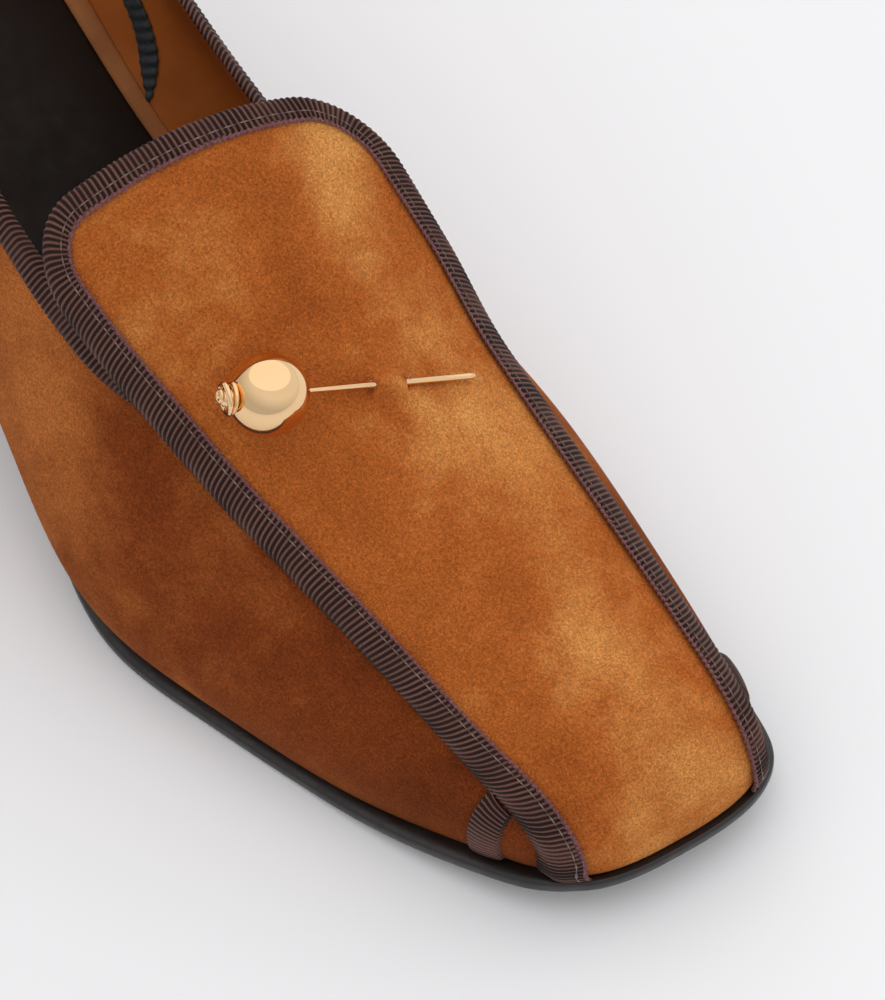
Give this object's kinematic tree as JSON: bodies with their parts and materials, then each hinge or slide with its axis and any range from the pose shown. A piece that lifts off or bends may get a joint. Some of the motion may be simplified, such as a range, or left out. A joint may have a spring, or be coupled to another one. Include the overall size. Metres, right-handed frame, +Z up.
{
  "type": "loafer pump",
  "caption": "Square-toed suede loafer pump with a wide tongue strap, ribbon binding, a ball pin on the vamp and a covered block heel.",
  "frame": {"origin": "on the floor under the middle of the tread, the flat spot of the sole under the ball of the foot", "axes": "+X to the toe, +Y to the inner (big toe) side of the foot, +Z up"},
  "size_m": [0.245, 0.0806, 0.1122],
  "materials": {
    "suede": "brushed suede",
    "apron_suede": "brushed suede",
    "ribbon": "ribbed grosgrain",
    "sole": "polished edge",
    "heel_cover": "brushed suede",
    "top_piece": "matte",
    "insole": "smooth",
    "sock": "glossy",
    "trim": "pleated",
    "gold": "polished pale rose gold"
  },
  "bodies": {
    "root": {"upper": "suede", "apron": "apron_suede", "outsole": "sole", "heel": "heel_cover", "heel_top_piece": "top_piece", "insole": "insole", "sock": "sock", "collar_binding": "ribbon", "apron_binding": "ribbon", "toe_tab_outer": "ribbon", "toe_tab_inner": "ribbon", "heel_trim": "trim", "pin_ball": "gold", "pin_rod": "gold", "pin_cap": "gold"}
  },
  "joints": []
}
